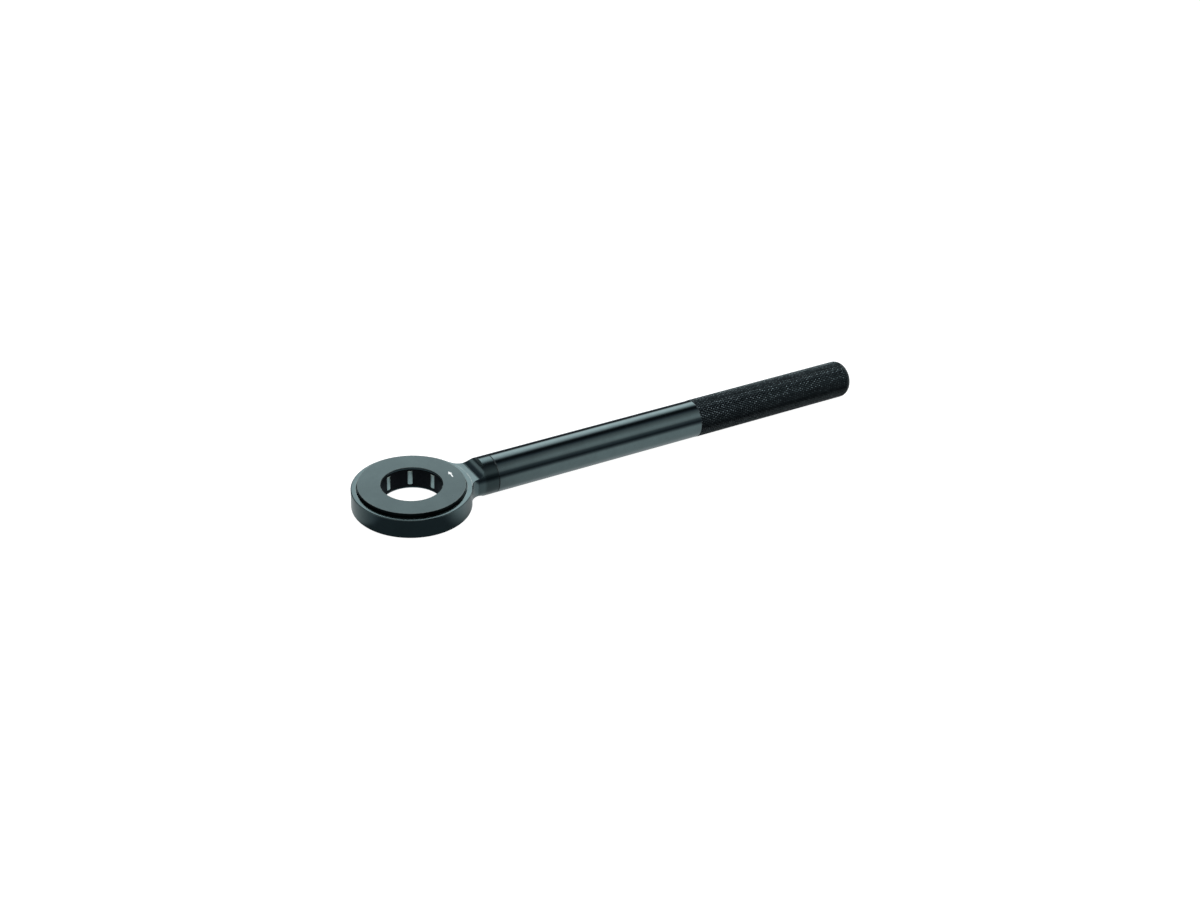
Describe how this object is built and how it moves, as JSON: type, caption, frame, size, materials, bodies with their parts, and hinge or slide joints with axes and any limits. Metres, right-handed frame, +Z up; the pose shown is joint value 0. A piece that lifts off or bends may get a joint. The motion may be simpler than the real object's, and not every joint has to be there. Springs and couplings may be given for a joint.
{
  "type": "one-way roller wrench",
  "caption": "One-way wrench for smooth round collet chuck nuts: a flat ring head with a caged roller clutch in its bore, a raised cover disc and a straight knurled handle.",
  "frame": {"origin": "centre of the underside of the whole wrench's bounding box: under the middle of its length, on its centre plane, level with the lowest line of the knurled grip", "axes": "+X along the handle from the ring head to the free end, +Z up along the clutch axis towards the raised cover disc"},
  "size_m": [0.278, 0.056, 0.019],
  "materials": {
    "black_oxide_head": "black oxide, satin, slightly blue",
    "black_oxide_cover": "black oxide over a fine turned face, satin",
    "black_oxide_handle": "black oxide, semi-gloss, knurled grip",
    "hardened_cam": "hardened and ground",
    "black_cage": "moulded black polyamide",
    "ground_roller": "ground bearing steel",
    "spring_steel": "tempered strip",
    "bright_steel": "bright ground",
    "black_screw": "blackened, 12.9 grade"
  },
  "bodies": {
    "wrench": {"head_body": "black_oxide_head", "cover_disc": "black_oxide_cover", "cam_ring": "hardened_cam", "drive_pin_1": "bright_steel", "drive_pin_2": "bright_steel", "cage_spring_1": "spring_steel", "cage_spring_2": "spring_steel", "cage_spring_3": "spring_steel", "cage_spring_4": "spring_steel", "cover_screw_1": "black_screw", "cover_screw_2": "black_screw", "cover_screw_3": "black_screw", "cover_screw_4": "black_screw", "cover_screw_5": "black_screw", "cover_screw_6": "black_screw", "handle_bar": "black_oxide_handle", "handle_stud": "bright_steel", "stud_lock_screw": "black_screw"},
    "cage": {"roller_cage": "black_cage"},
    "roller_1": {"roller_1": "ground_roller"},
    "roller_2": {"roller_2": "ground_roller"},
    "roller_3": {"roller_3": "ground_roller"},
    "roller_4": {"roller_4": "ground_roller"},
    "roller_5": {"roller_5": "ground_roller"},
    "roller_6": {"roller_6": "ground_roller"},
    "roller_7": {"roller_7": "ground_roller"},
    "roller_8": {"roller_8": "ground_roller"}
  },
  "joints": [
    {"name": "cage_release", "type": "hinge", "parent": "wrench", "child": "cage", "pos_m": [-0.111, 0, 0.00992], "axis": [0, 0, -1], "range_deg": [0, 5], "stiffness_Nm_per_rad": 0.02, "springref_deg": -14.9, "deforming": ["cage_spring_1", "cage_spring_2", "cage_spring_3", "cage_spring_4"]},
    {"name": "roller_1_spin", "type": "hinge", "parent": "cage", "child": "roller_1", "pos_m": [-0.09626, 0.0061, 0.00992], "axis": [0, 0, 1], "continuous": true},
    {"name": "roller_2_spin", "type": "hinge", "parent": "cage", "child": "roller_2", "pos_m": [-0.1049, 0.01474, 0.00992], "axis": [0, 0, 1], "continuous": true},
    {"name": "roller_3_spin", "type": "hinge", "parent": "cage", "child": "roller_3", "pos_m": [-0.1171, 0.01474, 0.00992], "axis": [0, 0, 1], "continuous": true},
    {"name": "roller_4_spin", "type": "hinge", "parent": "cage", "child": "roller_4", "pos_m": [-0.12574, 0.0061, 0.00992], "axis": [0, 0, 1], "continuous": true},
    {"name": "roller_5_spin", "type": "hinge", "parent": "cage", "child": "roller_5", "pos_m": [-0.12574, -0.0061, 0.00992], "axis": [0, 0, 1], "continuous": true},
    {"name": "roller_6_spin", "type": "hinge", "parent": "cage", "child": "roller_6", "pos_m": [-0.1171, -0.01474, 0.00992], "axis": [0, 0, 1], "continuous": true},
    {"name": "roller_7_spin", "type": "hinge", "parent": "cage", "child": "roller_7", "pos_m": [-0.1049, -0.01474, 0.00992], "axis": [0, 0, 1], "continuous": true},
    {"name": "roller_8_spin", "type": "hinge", "parent": "cage", "child": "roller_8", "pos_m": [-0.09626, -0.0061, 0.00992], "axis": [0, 0, 1], "continuous": true}
  ]
}
